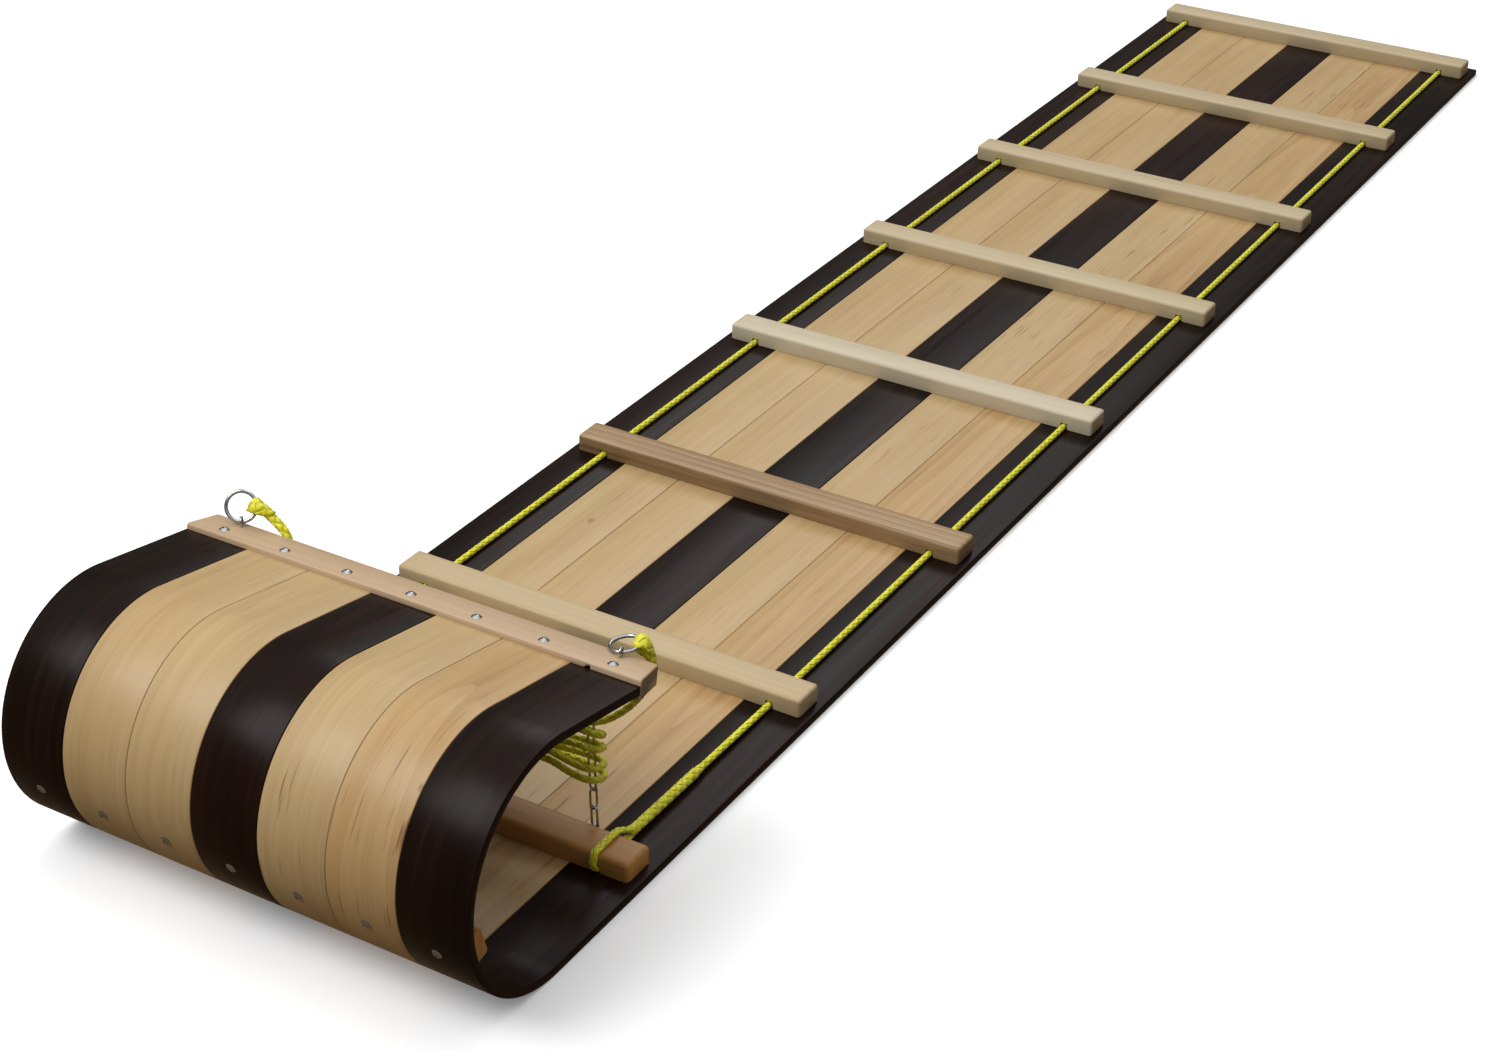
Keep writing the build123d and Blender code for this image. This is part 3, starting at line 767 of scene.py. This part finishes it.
def makeSlat(k):
    low = -halfWidth + k * slatPitch + (slatShape["gap"] / 2 if k else 0)
    high = -halfWidth + (k + 1) * slatPitch - (slatShape["gap"] / 2 if k < 6 else 0)
    section, stations = slatSection(low, high), slatStations()
    points, uvs = [], []
    for along, place, inward in stations:
        inGroove = max(0.0, (place - lip).dot(runBack)) if inward.z < 0 else 0.0
        wall = headShape["wall"] + 0.0003 if inGroove > 0.0001 else 0.0
        widest = halfWidth - headShape["taper"] * inGroove / headShape["deep"] - wall
        for x, depth in section:
            x = max(-widest, min(widest, x))
            points.append(place + Vector((x, 0, 0)) + inward * depth)
            uvs.append((x, along))
    mesh = outward(meshFrom(f"slat{k + 1}", points, ringFaces(len(stations), len(section)), uvs))
    slat = newPiece(f"slat{k + 1}", mesh, slatMaterials[k + 1])
    pit = bmesh.new()
    for seat in screwSeats(k):
        one = turned("pit", [(0.00385, -0.002), (0.00385, 0.0003), (0.0019, 0.003)])
        one.transform(Matrix.Translation(seat))
        pit.from_mesh(one)
    bmesh.ops.recalc_face_normals(pit, faces=pit.faces)
    pits = bpy.data.meshes.new("pits")
    pit.to_mesh(pits)
    pit.free()
    cutter = newPiece("pits", pits)
    cut = slat.modifiers.new("pits", "BOOLEAN")
    cut.operation, cut.solver, cut.object = "DIFFERENCE", "EXACT", cutter
    settle(slat)
    bpy.data.objects.remove(cutter)
    crispSmooth(slat)
    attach(slat, "sled")
    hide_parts(f"slat_{k + 1}")


for k in range(7):
    makeSlat(k)
print("slats bent")


# Bars across the deck: rounded sticks with a notch under each end for the side ropes
barShape = {"round": 0.0032, "under": 0.0007, "notchWide": 0.008, "notchHigh": 0.0069, "notchX": 0.189,
            "toeRound": 0.0042}


def stickSection(front, back, low, high, top, bottom):
    # y and z round a stick, with its top corners rounder than its bottom ones
    points = []
    for y, z, r, first in ((back - top, high - top, top, 0), (front + top, high - top, top, 90),
                           (front + bottom, low + bottom, bottom, 180),
                           (back - bottom, low + bottom, bottom, 270)):
        for k in range(5):
            angle = math.radians(first + 22.5 * k)
            points.append((y + r * math.cos(angle), z + r * math.sin(angle)))
    return points


def makeBar(name, top):
    low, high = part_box(name)
    ends = []
    for k in range(4, -1, -1):
        angle = math.radians(22.5 * k)
        ends.append((low.x + top * (1 - math.sin(angle)), top * (1 - math.cos(angle)), low.z))
    notch = barShape["notchX"] - barShape["notchWide"] / 2, barShape["notchX"] + barShape["notchWide"] / 2
    roof = low.z + barShape["notchHigh"]
    rows = ends + [(-notch[1], 0, low.z), (-notch[1], 0, roof), (-notch[0], 0, roof), (-notch[0], 0, low.z)]
    rows += [(-x, inset, z) for x, inset, z in rows[::-1]]
    points = []
    for x, inset, under in rows:
        foot = under if under > low.z else low.z + inset * 0.4
        for y, z in stickSection(low.y + inset, high.y - inset, foot, high.z - inset, top - inset * 0.6,
                                 barShape["under"]):
            points.append((x, y, z))
    mesh = outward(meshFrom(name, points, ringFaces(len(rows), 20)))
    bar = crispSmooth(newPiece(name.replace("_", "") + "Wood", mesh, barMaterials[name]), 40)
    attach(bar, "sled")
    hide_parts(name)


for name in barNames:
    makeBar(name, barShape["toeRound" if name == "toe_bar" else "round"])
print("bars shaped")


# Head bar: grooved for the slats' ends, narrower at its back, with a chip out of its lip
def headSection(chip, groove):
    # back and up round the bar, from the lip's lower front edge; chip pushes that edge in
    h, r = headShape, headShape["round"]
    points = [(chip, chip), (chip * 0.3, 0.0012 + chip)]
    points += [(r - r * math.cos(math.radians(a)), h["top"] - r + r * math.sin(math.radians(a)))
               for a in (0, 30, 60, 90)]
    b, cut = h["backRound"], h["underCut"]
    points += [(h["deep"] - b + b * math.sin(math.radians(a)), h["top"] - b + b * math.cos(math.radians(a)))
               for a in (0, 30, 60, 90)]
    points += [(h["deep"], h["under"] + cut), (h["deep"] - cut, h["under"]), (cut, h["under"]),
               (0.0, h["under"] + cut), (0.0, -h["grooveHigh"]), (groove, -h["grooveHigh"]), (groove, 0.0)]
    return points


def makeHeadBar():
    # each row: distance in from an end or a place along, how far the section is drawn in, chip and groove
    h = headShape
    rows = [(0.0, 0.0008, 0.0, 0.00005), (0.0008, 0.0, 0.0, 0.00005), (h["wall"], 0.0, 0.0, 0.00005),
            (h["wall"], 0.0, 0.0, h["groove"])]
    chipped = [(h["chipX"] + h["chipWide"] * across, 0.0, depth, h["groove"])
               for across, depth in ((-1.0, 0.0), (-0.45, 0.7), (0.1, 1.0), (0.35, 0.85), (0.5, 0.0))]
    points = []
    ordered = [(-1, row) for row in rows] + [(0, row) for row in chipped] + [(1, row) for row in rows[::-1]]
    for end, (along, inset, chip, groove) in ordered:
        for back, up in headSection(chip * h["chipDeep"], groove):
            x = end * (halfWidth - h["taper"] * back / h["deep"] - along) if end else along
            middleBack, middleUp = h["deep"] / 2, (h["top"] + h["under"]) / 2
            back += math.copysign(min(inset, abs(middleBack - back)), middleBack - back)
            up += math.copysign(min(inset, abs(middleUp - up)), middleUp - up)
            points.append(barPoint(x, back, up))
    count = len(headSection(0, h["groove"]))
    mesh = outward(meshFrom("headBar", points, ringFaces(2 * len(rows) + len(chipped), count)))
    bar = crispSmooth(newPiece("headBar", mesh, headWood), 30)
    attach(bar, "sled")
    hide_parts("head_bar")


makeHeadBar()
print("head bar grooved")


# Screws: one head, set on a cloud of seats by a node tree
def groupSocket(tree, name, kind, value=None, way="INPUT"):
    socket = tree.interface.new_socket(name=name, in_out=way, socket_type=kind)
    if value is not None:
        socket.default_value = value
    return socket


def placeAll(tree, points, instance, rotation, finish, smooth=False):
    # the instance at every point, made real and given its finish
    placed = node(tree, "GeometryNodeInstanceOnPoints", {
        "Points": points, "Instance": instance, "Rotation": rotation})
    made = node(tree, "GeometryNodeRealizeInstances", {"Geometry": placed.outputs[0]})
    if smooth:
        made = node(tree, "GeometryNodeSetShadeSmooth", {0: made.outputs[0]})
    finished = node(tree, "GeometryNodeSetMaterial", {"Geometry": made.outputs[0], "Material": finish})
    node(tree, "NodeGroupOutput", {"Geometry": finished.outputs[0]})
    return tree


def screwTree():
    tree = bpy.data.node_groups.new("screwSetter", "GeometryNodeTree")
    groupSocket(tree, "Geometry", "NodeSocketGeometry")
    groupSocket(tree, "Screw", "NodeSocketObject")
    groupSocket(tree, "Spin", "NodeSocketFloat", 6.2832)
    groupSocket(tree, "Seed", "NodeSocketInt", 5)
    groupSocket(tree, "Finish", "NodeSocketMaterial")
    groupSocket(tree, "Geometry", "NodeSocketGeometry", way="OUTPUT")
    given = node(tree, "NodeGroupInput")
    screw = node(tree, "GeometryNodeObjectInfo", {"Object": given.outputs["Screw"]})
    facing = node(tree, "GeometryNodeInputNamedAttribute", {"Name": "facing"}, data_type="FLOAT_VECTOR")
    spin = node(tree, "FunctionNodeRandomValue", {"Seed": given.outputs["Seed"]}, data_type="FLOAT")
    tree.links.new(given.outputs["Spin"], spin.inputs[3])
    spun = node(tree, "FunctionNodeAxisAngleToRotation", {"Axis": (0, 0, 1), "Angle": spin.outputs[1]})
    turnedTo = node(tree, "FunctionNodeAlignRotationToVector", {
        "Rotation": spun.outputs[0], "Vector": facing.outputs[0]}, axis="Z")
    return placeAll(tree, given.outputs["Geometry"], screw.outputs["Geometry"], turnedTo.outputs[0],
                    given.outputs["Finish"])


def setInputs(modifier, values):
    for item in modifier.node_group.interface.items_tree:
        if item.item_type == "SOCKET" and item.in_out == "INPUT" and item.name in values:
            modifier[item.identifier] = values[item.name]


def crossCut(piece, long, wide, deep, top):
    # a driver's cross pressed into a head
    cutterMesh = bmesh.new()
    for size in ((long, wide, 2 * deep), (wide, long, 2 * deep)):
        box = bmesh.ops.create_cube(cutterMesh, size=1.0)["verts"]
        bmesh.ops.scale(cutterMesh, vec=size, verts=box)
        bmesh.ops.translate(cutterMesh, vec=(0, 0, top), verts=box)
    cross = bpy.data.meshes.new("cross")
    cutterMesh.to_mesh(cross)
    cutterMesh.free()
    cutter = newPiece("cross", cross)
    cut = piece.modifiers.new("cross", "BOOLEAN")
    cut.operation, cut.solver, cut.object, cut.use_self = "DIFFERENCE", "EXACT", cutter, True
    settle(piece)
    bpy.data.objects.remove(cutter)
    return crispSmooth(piece)


screwShape = {
    "headRadius": 0.0046, "headHigh": 0.0022, "shank": 0.0019, "domeLong": 0.015,
    "sunkRadius": 0.0038, "sunkDeep": 0.0026, "sunkLong": 0.019,
}


def domedHead():
    s = screwShape
    ball = (s["headRadius"] ** 2 + s["headHigh"] ** 2) / (2 * s["headHigh"])
    profile = [(0.00005, -s["domeLong"]), (s["shank"], -s["domeLong"] + 0.002), (s["shank"], 0.0),
               (s["headRadius"] * 0.97, 0.0), (s["headRadius"], 0.0002)]
    for k in range(1, 9):
        z = 0.0002 + (s["headHigh"] - 0.0002) * math.sin(math.pi / 2 * k / 8)
        profile.append((max(0.00005, math.sqrt(max(0.0, ball ** 2 - (ball - s["headHigh"] + z) ** 2))), z))
    return crossCut(newPiece("domedHead", outward(turned("domedHead", profile, 40))), 0.0036, 0.0008, 0.0009,
                    s["headHigh"])


def sunkHead():
    s = screwShape
    profile = [(0.00005, 0.0), (s["sunkRadius"] - 0.0002, 0.0), (s["sunkRadius"], -0.0002),
               (s["shank"], -s["sunkDeep"]), (s["shank"], -s["sunkLong"]), (0.00005, -s["sunkLong"] - 0.002)]
    return crossCut(newPiece("sunkHead", outward(turned("sunkHead", profile[::-1], 24))), 0.0040, 0.0009,
                    0.0012, 0.0)


def setScrews(name, head, seats, cadNode, spin):
    mesh = meshFrom(name, [seat for seat, _ in seats], [])
    facing = mesh.attributes.new("facing", "FLOAT_VECTOR", "POINT")
    for i, (_, way) in enumerate(seats):
        facing.data[i].vector = way
    screws = newPiece(name, mesh, smooth=False)
    setter = screws.modifiers.new("screws", "NODES")
    setter.node_group = screwSetter
    setInputs(setter, {"Screw": head, "Spin": spin, "Seed": 5, "Finish": zinc})
    crispSmooth(settle(screws))
    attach(screws, "sled")
    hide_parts(cadNode)


screwSetter = screwTree()
domed, sunk = domedHead(), sunkHead()
noseDrop = math.radians(16)
noseOut = Vector((0, -math.cos(noseDrop), -math.sin(noseDrop)))
bendMiddle = Vector((0, bendY, bendRadius))
setScrews("headBarScrews", domed, [(barPoint(x, 0.010, headShape["top"]), runUp) for x in slatMiddles],
          "head_bar_screws", 6.2832)
setScrews("noseBarScrews", domed, [(bendMiddle + noseOut * bendRadius + Vector((x, 0, 0)), noseOut)
                                   for x in slatMiddles], "nose_bar_screws", 6.2832)
setScrews("crossbarScrews", sunk, [(seat + Vector((0, 0, 0.0003)), Vector((0, 0, -1)))
                                   for k in range(7) for seat in screwSeats(k)], "crossbar_screws", 6.2832)
for head in (domed, sunk):
    bpy.data.objects.remove(head)
print("screws driven")


# Chains: straight links hung from eye to eye by a node tree, each a quarter turn from the last
chainShape = {"links": 8, "wire": 0.001, "halfWidth": 0.0035, "slack": 0.0001, "turn": math.radians(76)}
eyeShape = {"wire": 0.0012, "loop": 0.0041, "shank": 0.011, "stand": 0.0046}


def chainTree():
    tree = bpy.data.node_groups.new("chainHanger", "GeometryNodeTree")
    for name, kind in (("First", "Vector"), ("Last", "Vector"), ("Links", "Int"), ("Link Long", "Float"),
                       ("Half Width", "Float"), ("Wire", "Float"), ("Turn", "Float"), ("Finish", "Material")):
        groupSocket(tree, name, f"NodeSocket{kind}")
    groupSocket(tree, "Geometry", "NodeSocketGeometry", way="OUTPUT")
    given = node(tree, "NodeGroupInput").outputs
    line = node(tree, "GeometryNodeMeshLine", {
        "Count": given["Links"], "Start Location": given["First"], "Offset": given["Last"]},
        mode="END_POINTS")
    outline = node(tree, "GeometryNodeCurvePrimitiveQuadrilateral", {
        "Width": maths(tree, "MULTIPLY", given["Half Width"], 2.0), "Height": given["Link Long"]})
    bowed = node(tree, "GeometryNodeFilletCurve", {
        "Curve": outline.outputs[0], "Radius": given["Half Width"], "Count": 9}, mode="POLY")
    section = node(tree, "GeometryNodeCurvePrimitiveCircle", {"Resolution": 12, "Radius": given["Wire"]})
    link = node(tree, "GeometryNodeCurveToMesh", {
        "Curve": bowed.outputs[0], "Profile Curve": section.outputs[0]})
    stood = node(tree, "GeometryNodeTransform", {
        "Geometry": link.outputs[0], "Rotation": (math.pi / 2, 0, 0)})
    index = node(tree, "GeometryNodeInputIndex").outputs[0]
    odd = maths(tree, "MODULO", index, 2.0)
    angle = maths(tree, "SUBTRACT", given["Turn"], maths(tree, "MULTIPLY", odd, math.pi / 2))
    spun = node(tree, "FunctionNodeAxisAngleToRotation", {"Axis": (0, 0, 1), "Angle": angle})
    down = node(tree, "ShaderNodeVectorMath", {0: given["First"], 1: given["Last"]}, operation="SUBTRACT")
    hung = node(tree, "FunctionNodeAlignRotationToVector", {
        "Rotation": spun.outputs[0], "Vector": down.outputs[0]}, axis="Z")
    return placeAll(tree, line.outputs[0], stood.outputs[0], hung.outputs[0], given["Finish"], smooth=True)


chainHanger = chainTree()


def eyePoints(side):
    x = side * pull["chainX"]
    top = barPoint(x, 0.027, headShape["under"] - eyeShape["stand"])
    foot = Vector((x, toeHigh.y + eyeShape["stand"], (toeLow.z + toeHigh.z) / 2))
    return top, foot


def makeChain(name, side):
    c = chainShape
    top, foot = eyePoints(side)
    down = (foot - top).normalized()
    inEye = eyeShape["loop"] - eyeShape["wire"] - c["wire"] - c["slack"]
    overlap = 2 * c["wire"] + c["slack"]
    linkLong = ((foot - top).length - 2 * inEye + (c["links"] - 1) * overlap) / c["links"]
    chain = newPiece(f"chain.{name}", bpy.data.meshes.new("chain"), smooth=False)
    hanger = chain.modifiers.new("links", "NODES")
    hanger.node_group = chainHanger
    setInputs(hanger, {
        "First": top + down * (inEye + linkLong / 2), "Last": foot - down * (inEye + linkLong / 2),
        "Links": c["links"], "Link Long": linkLong, "Half Width": c["halfWidth"], "Wire": c["wire"],
        "Turn": c["turn"], "Finish": zinc})
    settle(chain)
    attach(chain, "sled")
    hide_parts(f"chain_{name}")


# Wire: screw eyes bent round and left just open, and the two welded tow rings
def wireSolid(name, line, radius, steps=14, swell=None):
    frames = framesAlong(line)
    points = []
    for i, (spot, (along, sideways, upways)) in enumerate(zip(line, frames)):
        size = radius * (swell(i / (len(line) - 1)) if swell else 1.0)
        for k in range(steps):
            angle = 2 * math.pi * k / steps
            points.append(spot + sideways * (size * math.cos(angle)) + upways * (size * math.sin(angle)))
    mesh = outward(meshFrom(name, points, ringFaces(len(line), steps)))
    return crispSmooth(newPiece(name, mesh, zinc), 50)


def makeEye(name, middle, across, into, stand, cadNode):
    # the shank comes up out of the wood and runs into the loop, whose end stops short of it
    e = eyeShape
    sideways = across.cross(into).normalized()
    foot = middle + into * (stand + e["shank"])
    bottom = middle + into * e["loop"]
    line = [foot, foot.lerp(bottom, 0.5), foot.lerp(bottom, 0.85)]
    for k in range(41):
        angle = math.radians(12 + 332 * k / 40)
        lift = 0.0009 * k / 40 - 0.00045
        line.append(middle + into * (e["loop"] * math.cos(angle)) + sideways * (e["loop"] * math.sin(angle))
                    + across * lift)
    eye = wireSolid(name, line, e["wire"])
    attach(eye, "sled")
    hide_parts(cadNode)


def makeRing(name):
    axis, reach = ringWays(name)
    middle = ringSet[name]["pivot"] + reach * ringRadius
    weld = math.radians(200 if name == "left" else 150)
    line = []
    for k in range(97):
        angle = weld + 2 * math.pi * k / 96
        line.append(middle + (axis * math.cos(angle) + reach * math.sin(angle)) * ringRadius)
    ring = wireSolid(f"towRing.{name}", line, ringWire, 18,
                     lambda share: 1.0 + 0.07 * math.exp(-((min(share, 1 - share) - 0.006) / 0.006) ** 2))
    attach(ring, f"ring_{name}")
    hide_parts(f"tow_ring_{name}")


for name, side in sides.items():
    makeChain(name, side)
    top, foot = eyePoints(side)
    flatWay = Vector((math.cos(chainShape["turn"]), math.sin(chainShape["turn"]), 0))
    makeEye(f"chainTopEye.{name}", top, flatWay, runUp, eyeShape["stand"], f"chain_top_eye_{name}")
    makeEye(f"chainFootEye.{name}", foot, Vector((1, 0, 0)), Vector((0, -1, 0)), eyeShape["stand"],
            f"chain_foot_eye_{name}")
    turn = math.radians(ringSet[name]["turn"])
    across = Vector((math.cos(turn), math.sin(turn), 0))
    into = -(runUp - across * runUp.dot(across)).normalized()
    makeEye(f"ringEye.{name}", ringSet[name]["pivot"], across, into, 0.0032, f"ring_eye_{name}")
    makeRing(name)
for slotHolder in nodes["nose_bar"].material_slots:
    slotHolder.material = barMaterials["toe_bar"]
print("chains, eyes and rings hung")


# Floor and lights: a soft bright ceiling that fades towards the horizon, and a wide key from the front
studio = {
    "floor": (0.95, 0.95, 0.95),
    "floorGlow": 0.16,
    "floorZ": -0.0003,
    # brightness and colour from straight down to straight up
    "sky": [(0.0, 0.16), (0.5, 0.16), (0.7, 0.10), (0.86, 0.72), (1.0, 1.40)],
    "skyColour": [(0.0, (1.0, 0.66, 0.34)), (0.46, (1.0, 0.74, 0.48)), (0.56, (1.0, 1.0, 1.0))],
    "key": 104.0,
    "rim": 34.0,
}


def makeStudio():
    corners = [(x, y, studio["floorZ"]) for x, y in ((-30, -30), (30, -30), (30, 30), (-30, 30))]
    mesh = meshFrom("floor", corners, [(0, 1, 2, 3)])
    material, tree, shader = newMaterial("floor", {
        "Roughness": 0.8, "Specular IOR Level": 0.2, "Emission Color": (1, 1, 1, 1),
        "Emission Strength": studio["floorGlow"]})
    shader.inputs["Base Color"].default_value = (*studio["floor"], 1)
    floor = newPiece("floor", mesh, material)
    floor.visible_glossy = floor.visible_diffuse = False
    world = bpy.data.worlds.new("studio")
    world.use_nodes = True
    tree = world.node_tree
    sky = tree.nodes["Background"]
    heading = node(tree, "ShaderNodeTexCoord").outputs["Generated"]
    height = node(tree, "ShaderNodeSeparateXYZ", {0: heading}).outputs[2]
    raised = maths(tree, "MULTIPLY_ADD", height, 0.5, 0.5)
    glow = node(tree, "ShaderNodeFloatCurve", {"Value": raised})
    points = glow.mapping.curves[0].points
    while len(points) < len(studio["sky"]):
        points.new(0.5, 0.5)
    for point, (place, bright) in zip(points, studio["sky"]):
        point.location = (place, bright / 2)
        point.handle_type = "VECTOR"
    glow.mapping.update()
    tree.links.new(maths(tree, "MULTIPLY", glow.outputs[0], 2.0), sky.inputs["Strength"])
    tree.links.new(ramp(tree, raised, studio["skyColour"]), sky.inputs["Color"])
    bpy.context.scene.world = world
    for name, place, target, size, power in (
            ("key", (-1.6, -3.0, 3.6), (0, -0.4, 0), 2.2, studio["key"]),
            ("rim", (-1.5, 3.0, 3.2), (0, 0.3, 0), 2.0, studio["rim"])):
        light = bpy.data.objects.new(name, bpy.data.lights.new(name, "AREA"))
        light.data.size = size
        light.data.energy = power
        light.location = place
        light.rotation_euler = (Vector(target) - Vector(place)).to_track_quat("-Z", "Y").to_euler()
        bpy.context.scene.collection.objects.link(light)
    bpy.context.scene.view_settings.view_transform = "Standard"


makeStudio()
print("studio lit")
